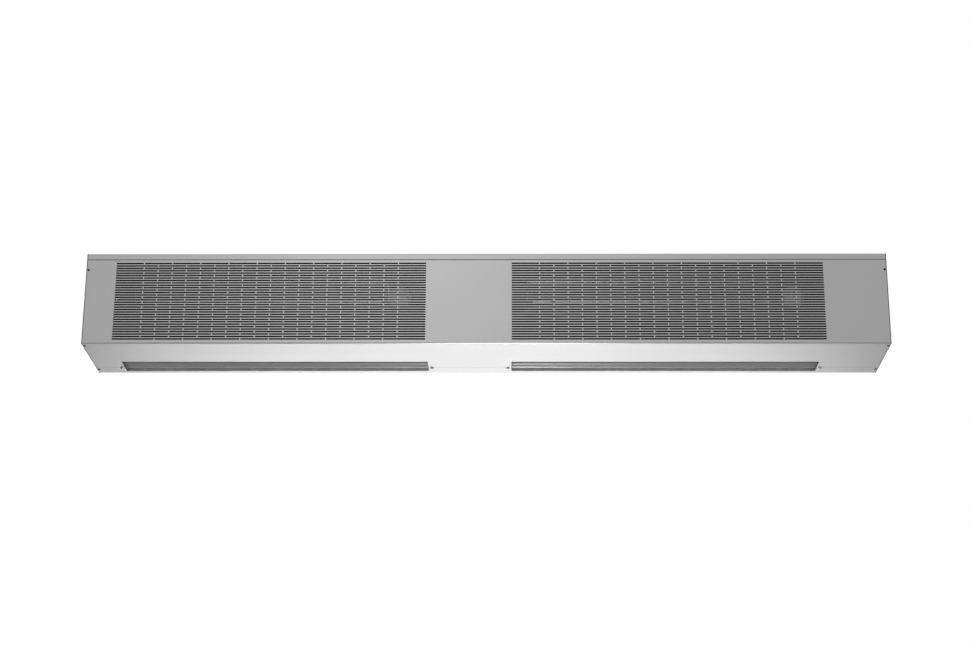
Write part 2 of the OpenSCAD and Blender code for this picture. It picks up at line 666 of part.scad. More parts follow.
module wheel_shafts_right() at_section(RIGHT, 1) color("silver") wheel_shafts();

// ---- Vanes: two in each outlet, turned together by a link on their crank pins ----
module vane_outline() {
    tip_r = vane_t / 2;
    reach = vane_h / 2 - tip_r;
    circle(vane_rib_r);
    polygon([[-tip_r, -reach], [tip_r, -reach], [vane_rib_r * 0.55, 0], [tip_r, reach],
        [-tip_r, reach], [-vane_rib_r * 0.55, 0]]);
    for (z = [-reach, reach]) translate([0, z]) circle(tip_r);
}
module vane(y) color("gainsboro") along_x(-vane_end, vane_end)
    translate([y, vane_z]) difference() {
        vane_outline();
        circle(pin_core_r);
    }
pin_core_r = 1.8;
pin_core_l = 20;
cap_t = 1.5;
crank_x = bush_end + 0.6;
crank_rim = 0.8;
link_t = 2;
link_x = crank_x + cap_t + 0.5;
// An end cap at each end of a vane: its core sits in the vane's rib and its pin in the bush.
// At the right end the pin runs on through the bulkhead to a crank.
module vane_pins(y) color(black) translate([0, y, vane_z]) {
    for (side = [0, 1]) mirror([side, 0, 0]) {
        bar_x(pin_core_r, vane_end - pin_core_l, vane_end, 0, 0);
        bar_x(vane_rib_r, vane_end, vane_end + cap_t, 0, 0);
        bar_x(vane_pin_r, vane_end + cap_t, side == 0 ? crank_x : bush_end, 0, 0);
    }
    along_x(crank_x, crank_x + cap_t) {
        circle(vane_rib_r);
        translate([-crank_pin_r - crank_rim, 0]) square([2 * (crank_pin_r + crank_rim), crank_r]);
        translate([0, crank_r]) circle(crank_pin_r + crank_rim);
    }
    bar_x(crank_pin_r, crank_x + cap_t, link_x + link_t + 1, 0, crank_r);
}
module vane_left_front() at_section(LEFT, 1) vane(vane_y[0]);
module vane_left_rear() at_section(LEFT, 1) vane(vane_y[1]);
module vane_right_front() at_section(RIGHT, 1) vane(vane_y[0]);
module vane_right_rear() at_section(RIGHT, 1) vane(vane_y[1]);
module vane_pins_left_front() at_section(LEFT, 1) vane_pins(vane_y[0]);
module vane_pins_left_rear() at_section(LEFT, 1) vane_pins(vane_y[1]);
module vane_pins_right_front() at_section(RIGHT, 1) vane_pins(vane_y[0]);
module vane_pins_right_rear() at_section(RIGHT, 1) vane_pins(vane_y[1]);
link_half_h = 3.2;
module vane_link() color(zinc) along_x(link_x, link_x + link_t)
    translate([0, vane_z + crank_r]) difference() {
        union() {
            translate([vane_y[0], -link_half_h]) square([vane_pitch, 2 * link_half_h]);
            for (y = vane_y) translate([y, 0]) circle(link_half_h);
        }
        for (y = vane_y) translate([y, 0]) circle(crank_pin_r + pin_gap);
    }
module vane_link_left() at_section(LEFT, 1) vane_link();
module vane_link_right() at_section(RIGHT, 1) vane_link();
bush_r = 4.5;
module vane_bushes() color(black) for (y = vane_y) for (side = [-1, 1])
    mirror([side < 0 ? 1 : 0, 0, 0]) translate([cheek_x, y, vane_z]) rotate([0, 90, 0])
        rotate_extrude() polygon([
            [vane_pin_r + pin_gap, -bush_flange_t], [bush_r + 1.5, -bush_flange_t], [bush_r + 1.5, 0],
            [bush_r, 0], [bush_r, bush_end - cheek_x], [vane_pin_r + pin_gap, bush_end - cheek_x]]);
module vane_bushes_left() at_section(LEFT, 1) vane_bushes();
module vane_bushes_right() at_section(RIGHT, 1) vane_bushes();

// ---- Control bay at the right end ----
bay_x = section_x(RIGHT) + cheek_x + sheet;
plate_x0 = bay_x + 34;
plate_x1 = half_l - sheet - flange_w - 4;
bolt_room = 6;
plate_z = [-30, 105];
rail_z = 35;
module control_plate() color(zinc) {
    along_y(-2 * sheet, -sheet) difference() {
        translate([plate_x0, plate_z[0]]) square([plate_x1 - plate_x0, plate_z[1] - plate_z[0]]);
        translate([wall_bolts_x / 2, wall_bolts_z / 2]) circle(bolt_hole_r + bolt_room);
    }
    // Top-hat rail
    along_x(plate_x0 + 4, plate_x1 - 4) translate([-2 * sheet, rail_z]) polygon(concat(
        rail_half(-1), reverse(rail_half(1))));
}
rail_h = 7.5;
rail_t = 1;
rail_web = 12;
rail_wing = 17.5;
function rail_half(way) = [[0, way * rail_web], [rail_t - rail_h, way * rail_web],
    [rail_t - rail_h, way * rail_wing], [-rail_h, way * rail_wing],
    [-rail_h, way * (rail_web - rail_t)], [-rail_t, way * (rail_web - rail_t)]];
rail_front = -2 * sheet - rail_h;
clamps_x = plate_x0 + 6;
clamp_w = 8.2;
clamp_gap = 0.4;
clamp_count = 5;
clamp_d = 36;
clamp_shoulder = 20;
clamp_half_h = 24;
clamp_nose = 14;
clamp_screw_r = 2.6;
module terminal_block() color("beige") for (i = [0:clamp_count - 1])
    translate([clamps_x + i * clamp_w, 0, rail_z]) along_x(0, clamp_w - clamp_gap) difference() {
        polygon([[rail_front, -clamp_half_h], [rail_front - clamp_shoulder, -clamp_half_h],
            [rail_front - clamp_d, -clamp_nose], [rail_front - clamp_d, clamp_nose],
            [rail_front - clamp_shoulder, clamp_half_h], [rail_front, clamp_half_h]]);
        for (z = [-1, 1] * (clamp_half_h - 2.7 * clamp_screw_r))
            translate([rail_front - clamp_shoulder, z]) circle(clamp_screw_r);
    }
contactor_w = 36;
contactor_x = clamps_x + clamp_count * clamp_w + 2;
contactor_half_h = 40;
contactor_nose = 24;
contactor_step = 46;
contactor_d = 66;
module contactor() color(black) translate([contactor_x, 0, rail_z]) along_x(0, contactor_w) polygon([
    [rail_front, -contactor_half_h], [rail_front - contactor_step, -contactor_half_h],
    [rail_front - contactor_step, -contactor_nose], [rail_front - contactor_d, -contactor_nose],
    [rail_front - contactor_d, contactor_nose], [rail_front - contactor_step, contactor_nose],
    [rail_front - contactor_step, contactor_half_h], [rail_front, contactor_half_h]]);

// ---- Wiring loom: from the left heaters through the windows to the contactor ----
loom_r = 4;
loom_bend = 11;
loom_y = window_y + window[0] / 2;
loom_z = window_z + loom_r;
// Slack in front of the right wheel: an arch, made as two like halves
slack_x = section_x(RIGHT) - cheek_x + 18;
slack_bend = 30;
slack_rise = 12;
slack_l = 4 * slack_bend;
module slack() rotate([90, 0, 0])
    for (side = [0, 1]) translate([side * slack_l, 0, 0]) mirror([side, 0, 0]) {
        elbow(loom_r, slack_bend);
        bar_y(loom_r, slack_bend, slack_bend + slack_rise, slack_bend, 0);
        translate([slack_bend, slack_bend + slack_rise, 0]) rotate([0, 0, 90]) mirror([0, 1, 0])
            elbow(loom_r, slack_bend);
    }
module wiring_loom() color("darkslategray") union() {
    stud_x = section_x(LEFT) + heater_end;
    drop_x = stud_x + 2 * loom_bend;
    end_x = contactor_x + contactor_w / 2;
    end_y = rail_front - contactor_step * 0.75;
    bar_x(loom_r, stud_x, drop_x - loom_bend, heater_y[2], heater_z);
    translate([drop_x - loom_bend, heater_y[2], heater_z]) rotate([180, 0, 0]) elbow(loom_r, loom_bend);
    bar_y(loom_r, loom_y + loom_bend, heater_y[2] - loom_bend, drop_x, heater_z);
    translate([drop_x, loom_y + loom_bend, heater_z]) rotate([90, 0, -90]) elbow(loom_r, loom_bend);
    bar_z(loom_r, heater_z + loom_bend, loom_z - loom_bend, drop_x, loom_y);
    translate([drop_x, loom_y, loom_z - loom_bend]) rotate([-90, -90, 0]) elbow(loom_r, loom_bend);
    bar_x(loom_r, drop_x + loom_bend, slack_x, loom_y, loom_z);
    translate([slack_x, loom_y, loom_z]) slack();
    bar_x(loom_r, slack_x + slack_l, end_x - loom_bend, loom_y, loom_z);
    translate([end_x - loom_bend, loom_y, loom_z]) elbow(loom_r, loom_bend);
    bar_y(loom_r, loom_y + loom_bend, end_y - loom_bend, end_x, loom_z);
    translate([end_x, end_y - loom_bend, loom_z]) rotate([90, 0, 90]) elbow(loom_r, loom_bend);
    bar_z(loom_r, loom_z + loom_bend, rail_z - contactor_half_h, end_x, end_y);
}

rear_casing();
front_cover();
end_panel_left();
end_panel_right();
cover_screws();
front_screws();
corner_screws();
cable_grommet();
bulkhead_left_outer();
bulkhead_left_inner();
bulkhead_right_inner();
bulkhead_right_outer();
scroll_left();
scroll_right();
tongue_left();
tongue_right();
heaters_left();
heaters_right();
heater_nuts_left();
heater_nuts_right();
heater_comb_left();
heater_comb_right();
bearing_left();
bearing_right();
bearing_rubber_left();
bearing_rubber_right();
motor_left();
motor_right();
motor_bracket_left();
motor_bracket_right();
capacitor_left();
capacitor_right();
motor_lead_left();
motor_lead_right();
thermal_cutout_left();
thermal_cutout_right();
vane_bushes_left();
vane_bushes_right();
control_plate();
terminal_block();
contactor();
wiring_loom();
fan_wheel_left();
fan_wheel_right();
wheel_shafts_left();
wheel_shafts_right();
vane_left_front();
vane_left_rear();
vane_right_front();
vane_right_rear();
vane_pins_left_front();
vane_pins_left_rear();
vane_pins_right_front();
vane_pins_right_rear();
vane_link_left();
vane_link_right();
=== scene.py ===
"""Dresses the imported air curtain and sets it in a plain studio.

The construction, with every size and place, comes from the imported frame. This file gives each
sheet, moulding and wheel its finish, makes the pieces that repeat (rivets, wound fins, cable
ties), and sets the camera, the lamps and the floor. All sizes are in metres.
"""

import json
import logging
import math
from dataclasses import dataclass, replace
from enum import Enum

import bpy
from mathutils import Matrix, Vector

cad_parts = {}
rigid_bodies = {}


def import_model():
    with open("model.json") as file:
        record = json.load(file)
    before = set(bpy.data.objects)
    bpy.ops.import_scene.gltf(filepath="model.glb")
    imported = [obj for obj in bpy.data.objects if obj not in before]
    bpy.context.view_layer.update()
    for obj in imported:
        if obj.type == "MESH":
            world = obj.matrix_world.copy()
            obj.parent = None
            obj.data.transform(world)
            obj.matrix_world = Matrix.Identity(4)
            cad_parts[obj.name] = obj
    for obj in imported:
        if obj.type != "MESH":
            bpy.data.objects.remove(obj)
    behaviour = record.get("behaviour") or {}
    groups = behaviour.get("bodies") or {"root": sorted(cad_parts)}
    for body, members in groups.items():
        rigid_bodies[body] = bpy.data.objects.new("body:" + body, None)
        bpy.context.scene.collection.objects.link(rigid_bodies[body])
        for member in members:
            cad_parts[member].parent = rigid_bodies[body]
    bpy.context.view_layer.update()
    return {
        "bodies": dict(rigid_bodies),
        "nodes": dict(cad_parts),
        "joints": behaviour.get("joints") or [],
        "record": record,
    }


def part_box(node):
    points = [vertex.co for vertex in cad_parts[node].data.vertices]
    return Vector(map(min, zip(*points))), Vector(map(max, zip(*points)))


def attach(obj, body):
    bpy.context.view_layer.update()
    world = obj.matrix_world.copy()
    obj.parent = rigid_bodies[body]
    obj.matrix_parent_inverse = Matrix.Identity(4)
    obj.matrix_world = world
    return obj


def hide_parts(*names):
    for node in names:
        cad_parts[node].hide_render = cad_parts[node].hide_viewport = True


log = logging.getLogger("air_curtain")

MM = 0.001
ACROSS_X = (0.0, 1.0, 1.0)
WHITE = (1.0, 1.0, 1.0, 1.0)

Socket = bpy.types.NodeSocket
Colour = tuple[float, float, float]
Place = tuple[float, float, float]


# ---------------------------------------------------------------- choices


class Side(Enum):
    """The two sections of the air curtain, by the word in the names of their nodes."""

    LEFT = "left"
    RIGHT = "right"


class Grain(Enum):
    """The way that the brushing runs on a sheet, as the scale of the noise along X, Y and Z."""

    ALONG = (1.0, 60.0, 60.0)
    UPRIGHT = (60.0, 60.0, 1.0)


# ---------------------------------------------------------------- node trees


class Graph:
    """Adds nodes and links to one node tree."""

    def __init__(self, tree: bpy.types.NodeTree) -> None:
        """Takes the tree to build in.

        Args:
            tree: A material's, world's or modifier's node tree.
        """
        self.tree = tree

    @classmethod
    def fresh(cls, owner: bpy.types.Material | bpy.types.World) -> "Graph":
        """Empties the node tree of a material or a world.

        Args:
            owner: The material or the world.

        Returns:
            A graph on the empty tree.
        """
        owner.use_nodes = True
        owner.node_tree.nodes.clear()
        return cls(owner.node_tree)

    def add(self, kind: str, inputs: dict | None = None, **settings: object) -> bpy.types.Node:
        """Adds a node, sets its properties, and sets or links its inputs.

        Args:
            kind: The node's type, such as "ShaderNodeMath".
            inputs: Input name or number to a value, or to an output socket to link.
            settings: The node's own properties.

        Returns:
            The new node.
        """
        node = self.tree.nodes.new(kind)
        for name, value in settings.items():
            setattr(node, name, value)
        for key, value in (inputs or {}).items():
            if isinstance(value, bpy.types.NodeSocket):
                self.tree.links.new(value, node.inputs[key])
            else:
                node.inputs[key].default_value = value
        return node

    def math(self, operation: str, a: object, b: object = 0.0) -> Socket:
        """Adds a Math node.

        Args:
            operation: Its operation, such as "MULTIPLY".
            a: First value or socket.
            b: Second value or socket.

        Returns:
            Its output socket.
        """
        return self.add("ShaderNodeMath", {0: a, 1: b}, operation=operation).outputs[0]

    def vector(self, **axes: object) -> Socket:
        """Makes a vector out of its axes.

        Args:
            axes: X, Y and Z, each as a value or a socket. An axis that is left out is 0.

        Returns:
            The vector's socket.
        """
        return self.add("ShaderNodeCombineXYZ", axes).outputs["Vector"]

    def axes(self, vector: Socket) -> bpy.types.bpy_prop_collection:
        """Takes a vector apart.

        Args:
            vector: The vector's socket.

        Returns:
            The sockets of its X, Y and Z, by these names.
        """
        return self.add("ShaderNodeSeparateXYZ", {"Vector": vector}).outputs

    def noise(self, place: Socket, scale: float, detail: float = 2.0, **more: float) -> Socket:
        """Adds a cloudy noise.

        Args:
            place: Where the noise is looked up.
            scale: How fine it is.
            detail: How many times a finer noise is laid over it.
            more: Other inputs of the node, by their names.

        Returns:
            A 0 to 1 socket.
        """
        inputs = {"Vector": place, "Scale": scale, "Detail": detail, **more}
        return self.add("ShaderNodeTexNoise", inputs).outputs["Fac"]

    def rise(self, value: Socket, start: float, end: float) -> Socket:
        """Rises from 0 at one value to 1 at another, and stays level outside them.

        Args:
            value: The socket to follow.
            start: The value that gives 0.
            end: The value that gives 1.

        Returns:
            A 0 to 1 socket.
        """
        node = self.add("ShaderNodeMapRange", {"Value": value, "From Min": start, "From Max": end})
        return node.outputs["Result"]

    def spread(self, value: Socket, low: float, high: float) -> Socket:
        """Spreads a 0 to 1 value over a range.

        Args:
            value: The socket to spread.
            low: Result at 0.
            high: Result at 1.

        Returns:
            The result's socket.
        """
        node = self.add("ShaderNodeMapRange", {"Value": value, "To Min": low, "To Max": high})
        return node.outputs["Result"]

    def mix(self, factor: Socket, a: object, b: object) -> Socket:
        """Mixes two colours.

        Args:
            factor: 0 for the first colour, 1 for the second.
            a: The first colour or its socket.
            b: The second colour or its socket.

        Returns:
            The mixed colour's socket.
        """
        node = self.add("ShaderNodeMix", {"Factor": factor, "A": a, "B": b}, data_type="RGBA")
        return node.outputs["Result"]

    def looks_out(self, place: Socket, middle: Place) -> Socket:
        """Measures how far a face's plane is from a line along X, and which way the face looks.

        Args:
            place: Object coordinates.
            middle: A point on the line.

        Returns:
            The distance's socket: above 0 where the face looks away from the line, below 0 where
            it looks towards it.
        """
        from_middle = self.add("ShaderNodeVectorMath", {0: place, 1: middle}, operation="SUBTRACT")
        across = self.add("ShaderNodeVectorMath", {0: from_middle.outputs["Vector"], 1: ACROSS_X},
                          operation="MULTIPLY")
        normal = self.add("ShaderNodeTexCoord").outputs["Normal"]
        out = self.add("ShaderNodeVectorMath", {0: across.outputs["Vector"], 1: normal},
                       operation="DOT_PRODUCT")
        return out.outputs["Value"]

    def moved(self, geometry: Socket, **inputs: object) -> Socket:
        """Moves or turns geometry.

        Args:
            geometry: The geometry's socket.
            inputs: Translation or Rotation, as a value or a socket.

        Returns:
            The socket of the geometry in its new place.
        """
        node = self.add("GeometryNodeTransform", {"Geometry": geometry, **inputs})
        return node.outputs["Geometry"]

    def joined(self, *parts: Socket) -> Socket:
        """Joins pieces of geometry.

        Args:
            parts: The geometry sockets.

        Returns:
            The joined geometry's socket.
        """
        node = self.add("GeometryNodeJoinGeometry")
        for part in parts:
            self.tree.links.new(part, node.inputs["Geometry"])
        return node.outputs["Geometry"]


# ---------------------------------------------------------------- finishes


@dataclass(frozen=True)
class Finish:
    """What every finish has: a colour, a roughness, how far both vary, and a fine bump.

    The colour varies by tone, a share of itself, and the roughness by rough_spread. Both follow
    the fine pattern and the larger clouds.
    """

    name: str
    colour: Colour
    roughness: float = 0.5
    metallic: float = 0.0
    tone: float = 0.06
    rough_spread: float = 0.08
    fine_scale: float = 900.0
    fine_detail: float = 4.0
    cloud_scale: float = 9.0
    cloud_detail: float = 3.0
    bump: float = 0.05
    bump_distance: float = 0.2 * MM

    def pattern(self, graph: Graph, place: Socket) -> Socket:
        """Makes the fine pattern of the surface.

        Args:
            graph: The material's graph.
            place: Object coordinates.

        Returns:
            A 0 to 1 socket.
        """
        return graph.noise(place, self.fine_scale, self.fine_detail)

    def tint(self, graph: Graph, shade: Socket, place: Socket) -> Socket:
        """Gives the colour over the surface.

        Args:
            graph: The material's graph.
            shade: 0 to 1, how light the surface is here.
            place: Object coordinates, for the finishes whose colour changes with the place.

        Returns:
            The colour's socket.
        """
        dark = tuple(c * (1.0 - self.tone) for c in self.colour) + (1.0,)
        light = tuple(min(c * (1.0 + self.tone), 1.0) for c in self.colour) + (1.0,)
        return graph.mix(shade, dark, light)

    def set_shader(self, shader: bpy.types.Node) -> None:
        """Sets the sockets that are the same all over.

        Args:
            shader: The Principled BSDF.
        """
        shader.inputs["Metallic"].default_value = self.metallic

    def material(self) -> bpy.types.Material:
        """Builds the material once, and finds it again after that.

        Returns:
            The material.
        """
        full_name = f"{self.name}_surface"
        found = bpy.data.materials.get(full_name)
        if found:
            return found
        made = bpy.data.materials.new(full_name)
        graph = Graph.fresh(made)
        place = graph.add("ShaderNodeTexCoord").outputs["Object"]
        fine = self.pattern(graph, place)
        cloud = graph.noise(place, self.cloud_scale, self.cloud_detail)
        shade = graph.math("MULTIPLY", graph.math("ADD", fine, cloud), 0.5)
        rough = graph.spread(shade, self.roughness - self.rough_spread,
                             self.roughness + self.rough_spread)
        bump = graph.add("ShaderNodeBump", {
            "Strength": self.bump, "Distance": self.bump_distance, "Height": fine})
        shader = graph.add("ShaderNodeBsdfPrincipled", {
            "Base Color": self.tint(graph, shade, place), "Roughness": rough,
            "Normal": bump.outputs["Normal"]})
        self.set_shader(shader)
        graph.add("ShaderNodeOutputMaterial", {"Surface": shader.outputs["BSDF"]})
        return made


@dataclass(frozen=True)
class BrushedSteel(Finish):
    """Steel with a brushed grain and a few longer scratches along it."""

    metallic: float = 1.0
    grain: Grain = Grain.ALONG
    grain_scale: float = 14.0
    grain_detail: float = 8.0
    grain_harshness: float = 0.7
    scratch_scale: float = 5.0
    scratch_bend: float = 0.2
    scratch_starts: float = 0.62
    scratch_full: float = 0.72
    scratch_share: float = 0.1

    def pattern(self, graph: Graph, place: Socket) -> Socket:
        """Draws out two noises along the grain: the brushing, and longer single scratches.

        Args:
            graph: The material's graph.
            place: Object coordinates.

        Returns:
            A 0 to 1 socket.
        """
        stretch = graph.add("ShaderNodeMapping", {"Vector": place, "Scale": self.grain.value})
        drawn = stretch.outputs["Vector"]
        brushing = graph.noise(drawn, self.grain_scale, self.grain_detail,
                               Roughness=self.grain_harshness)
        scratches = graph.noise(drawn, self.scratch_scale, Distortion=self.scratch_bend)
        single = graph.rise(scratches, self.scratch_starts, self.scratch_full)
        return graph.math("ADD", graph.math("MULTIPLY", brushing, 1.0 - self.scratch_share),
                          graph.math("MULTIPLY", single, self.scratch_share))


@dataclass(frozen=True)
class CutAndShadedSteel(BrushedSteel):
    """Brushed sheet that lies across X, with a near-black rim on its edges and flanges.

    The rim is painted shade of the gaps at the edges, and in part a laser cut's dark edge.
    A face is at the rim where its normal has less than rim_below along X.
    """

    cut_and_shade_rim: Colour = (0.05, 0.05, 0.052)
    rim_below: float = 0.5

    def tint(self, graph: Graph, shade: Socket, place: Socket) -> Socket:
        """Darkens the rim's faces, which look across X: painted shade, partly a cut's dark edge.

        Args:
            graph: The material's graph.
            shade: 0 to 1, how light the surface is here.
            place: Object coordinates.

        Returns:
            The colour's socket.
        """
        sheet = super().tint(graph, shade, place)
        along = graph.axes(graph.add("ShaderNodeTexCoord").outputs["Normal"])["X"]
        at_rim = graph.math("LESS_THAN", graph.math("ABSOLUTE", along), self.rim_below)
        # painted shade of the gaps at the edges, partly a laser cut's dark edge
        return graph.mix(at_rim, sheet, (*self.cut_and_shade_rim, 1.0))


@dataclass(frozen=True)
class InsideShadedSteel(BrushedSteel):
    """The casing's steel, with painted shade, near black, on the faces that look into the box.

    The painted shade sets in between its two distances, measured out from the box's middle,
    so the edges and flanges that lie further in stay unshaded. The middle comes from the frame.
    """

    inside_shade: Colour = (0.012, 0.012, 0.013)
    middle: Place = (0.0, 0.0, 0.0)
    shade_from: float = 104 * MM
    shade_fully: float = 112 * MM

    def tint(self, graph: Graph, shade: Socket, place: Socket) -> Socket:
        """Paints shade on the faces that look to the middle from as far out as the sheet lies.

        Args:
            graph: The material's graph.
            shade: 0 to 1, how light the surface is here.
            place: Object coordinates.

        Returns:
            The colour's socket.
        """
        unshaded = super().tint(graph, shade, place)
        out = graph.looks_out(place, self.middle)
        # painted shade: faces that look into the box turn near black
        inside_shaded = graph.rise(out, -self.shade_from, -self.shade_fully)
        return graph.mix(inside_shaded, unshaded, (*self.inside_shade, 1.0))


@dataclass(frozen=True)
class ZincSheet(Finish):
    """Zinc-coated sheet with its flat crystals."""

    metallic: float = 1.0
    crystal_scale: float = 90.0

    def pattern(self, graph: Graph, place: Socket) -> Socket:
        """Gives each crystal its own shade.

        Args:
            graph: The material's graph.
            place: Object coordinates.

        Returns:
            A 0 to 1 socket.
        """
        cells = graph.add("ShaderNodeTexVoronoi", {"Vector": place, "Scale": self.crystal_scale})
        shade = graph.add("ShaderNodeSeparateColor", {"Color": cells.outputs["Color"]})
        return shade.outputs["Red"]


@dataclass(frozen=True)
class DuctShadedZinc(ZincSheet):
    """A duct's zinc-coated sheet, with painted shade, matt and near black, on some of its faces.

    The painted shade is on the faces that look out of the duct. Where wheel_span gives a wheel's
    two ends, the faces that look into the duct are shaded past them too, from a set height up.
    """

    duct_shade: Colour = (0.02, 0.02, 0.021)
    duct_middle: Place = (0.0, -0.055, -0.06)
    soft_edge: float = 4 * MM
    wheel_span: tuple[float, float] | None = None
    ends_shaded_to: float = 0.0

    def tint(self, graph: Graph, shade: Socket, place: Socket) -> Socket:
        """Leaves the faces that look into the duct unshaded, and paints shade on the others.

        Args:
            graph: The material's graph.
            shade: 0 to 1, how light the surface is here.
            place: Object coordinates.

        Returns:
            The colour's socket.
        """
        zinc = super().tint(graph, shade, place)
        out = graph.looks_out(place, self.duct_middle)
        unshaded = graph.rise(out, self.soft_edge, -self.soft_edge)
        if self.wheel_span:
            start, end = self.wheel_span
            axes = graph.axes(place)
            off_middle = graph.math("ABSOLUTE",
                                    graph.math("SUBTRACT", axes["X"], (start + end) / 2))
            at_wheel = graph.math("LESS_THAN", off_middle, (end - start) / 2)
            low = graph.math("LESS_THAN", axes["Z"], self.ends_shaded_to)
            unshaded = graph.math("MULTIPLY", unshaded, graph.math("MAXIMUM", at_wheel, low))
        # painted shade: near black wherever the sheet is not left unshaded
        return graph.mix(unshaded, (*self.duct_shade, 1.0), zinc)


@dataclass(frozen=True)
class Moulded(Finish):
    """Plastic, rubber or paint with the fine grain of a sparked mould."""

    spark_scale: float = 1400.0
    specular: float = 0.4

    def pattern(self, graph: Graph, place: Socket) -> Socket:
        """Makes the grain that a sparked mould leaves.

        Args:
            graph: The material's graph.
            place: Object coordinates.

        Returns:
            A 0 to 1 socket.
        """
        cells = graph.add("ShaderNodeTexVoronoi", {"Vector": place, "Scale": self.spark_scale},
                          feature="SMOOTH_F1")
        return cells.outputs["Distance"]

    def set_shader(self, shader: bpy.types.Node) -> None:
        """Sets how strongly the surface shines.

        Args:
            shader: The Principled BSDF.
        """
        super().set_shader(shader)
        shader.inputs["Specular IOR Level"].default_value = self.specular


@dataclass(frozen=True)
class HeatTinted(Finish):
    """Steel that runs hot, with straw and blue bands."""

    metallic: float = 1.0
    straw: Colour = (0.26, 0.21, 0.14)
    blue: Colour = (0.12, 0.125, 0.15)
    band_scale: float = 22.0
    band_detail: float = 3.0
    plain_until: float = 0.35
    straw_at: float = 0.5
    blue_from: float = 0.65

    def tint(self, graph: Graph, shade: Socket, place: Socket) -> Socket:
        """Runs from the plain colour through straw to blue in soft clouds.

        Args:
            graph: The material's graph.
            shade: 0 to 1, which this finish's colour doesn't follow.
            place: Object coordinates.

        Returns:
            The colour's socket.
        """
        heat = graph.noise(place, self.band_scale, self.band_detail)
        ramp = graph.add("ShaderNodeValToRGB", {"Fac": heat})
        stops = ramp.color_ramp.elements
        stops[0].position, stops[0].color = self.plain_until, (*self.colour, 1.0)
        stops[1].position, stops[1].color = self.blue_from, (*self.blue, 1.0)
        middle = stops.new(self.straw_at)
        middle.color = (*self.straw, 1.0)
        return ramp.outputs["Color"]


@dataclass(frozen=True)
class Woven(Finish):
    """A braided sleeve: two families of strands that cross."""

    strand_scale: float = 520.0
    strand_bend: float = 0.4
    slant: float = math.radians(38)

    def pattern(self, graph: Graph, place: Socket) -> Socket:
        """Crosses two slanting waves.

        Args:
            graph: The material's graph.
            place: Object coordinates.

        Returns:
            A 0 to 1 socket.
        """
        strands = []
        for slant in (self.slant, -self.slant):
            turned = graph.add("ShaderNodeMapping", {
                "Vector": place, "Rotation": (0.0, 0.0, slant)})
            strands.append(graph.add("ShaderNodeTexWave", {
                "Vector": turned.outputs["Vector"], "Scale": self.strand_scale,
                "Distortion": self.strand_bend}).outputs["Fac"])
        return graph.math("MAXIMUM", *strands)


# casing steel, with painted shade on the faces inside the box
CASING_STEEL = InsideShadedSteel("casing_steel", (0.33, 0.33, 0.333), roughness=0.4, tone=0.05,
                          rough_spread=0.05, cloud_scale=3.0, bump=0.06)
# end panels, with a near-black rim of painted shade on their edges and flanges
END_STEEL = CutAndShadedSteel("end_steel", (0.33, 0.33, 0.333), roughness=0.4, tone=0.05,
                     rough_spread=0.05, cloud_scale=4.0, bump=0.06, grain=Grain.UPRIGHT)
# near-black screw steel: painted shade round the heads of the front and corner screws
SCREW_SHADE_STEEL = BrushedSteel("screw_painted_shade", (0.03, 0.03, 0.031), roughness=0.4,
                             grain_scale=60.0, bump=0.1)
SCREW_STEEL = BrushedSteel("screw_steel", (0.30, 0.30, 0.30), roughness=0.32, grain_scale=60.0,
                           bump=0.1)
# tongue and scroll zinc, with painted shade on the faces that look out of the duct
TONGUE_ZINC = DuctShadedZinc("tongue_zinc", (0.5, 0.5, 0.51), roughness=0.5, tone=0.15, bump=0.03)
SCROLL_ZINC = DuctShadedZinc("scroll_zinc", (0.62, 0.62, 0.63), roughness=0.6, tone=0.15, bump=0.03)
# zinc darkened far below the other zinc sheets: painted shade for the parts inside
SHADED_FRAME_ZINC = ZincSheet("frame_zinc_shaded", (0.14, 0.145, 0.15), roughness=0.48, tone=0.2, bump=0.03)
WHEEL_BLACK = Moulded("wheel_coating", (0.035, 0.035, 0.037), roughness=0.45, spark_scale=600.0)
VANE_SATIN = BrushedSteel("vane_satin", (0.52, 0.52, 0.525), roughness=0.4, tone=0.05, bump=0.05)
SHAFT_STEEL = BrushedSteel("shaft_steel", (0.22, 0.22, 0.22), roughness=0.45, bump=0.03,
                           grain=Grain.UPRIGHT)
HEATER_STEEL = HeatTinted("heater_steel", (0.16, 0.155, 0.15), roughness=0.42, bump=0.05)
MOTOR_PAINT = Moulded("motor_paint", (0.2, 0.203, 0.207), roughness=0.4, spark_scale=900.0)
BRONZE = ZincSheet("sintered_bronze", (0.42, 0.27, 0.12), roughness=0.5, crystal_scale=1800.0)
RUBBER = Moulded("black_rubber", (0.02, 0.02, 0.02), roughness=0.75, specular=0.25)
BLACK_PLASTIC = Moulded("black_plastic", (0.025, 0.025, 0.027), roughness=0.5)
GREY_PLASTIC = Moulded("grey_plastic", (0.42, 0.42, 0.40), roughness=0.5)
BROWN_PLASTIC = Moulded("brown_plastic", (0.16, 0.07, 0.03), roughness=0.4)
CAPACITOR_CAN = Moulded("capacitor_can", (0.08, 0.08, 0.082), roughness=0.5)
SLEEVE = Woven("cable_sleeve", (0.03, 0.03, 0.032), roughness=0.6, bump=0.4,
               bump_distance=0.4 * MM)


# ---------------------------------------------------------------- frame helpers


@dataclass(frozen=True)
class Box:
    """A node's box at rest."""

    low: Vector
    high: Vector

    @classmethod
    def of(cls, node: str) -> "Box":
        """Measures a node of the frame.

        Args:
            node: The node's name.

        Returns:
            Its box.
        """
        low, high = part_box(node)
        return cls(Vector(low), Vector(high))

    @property
    def centre(self) -> Vector:
        """The middle of the box."""
        return (self.low + self.high) / 2


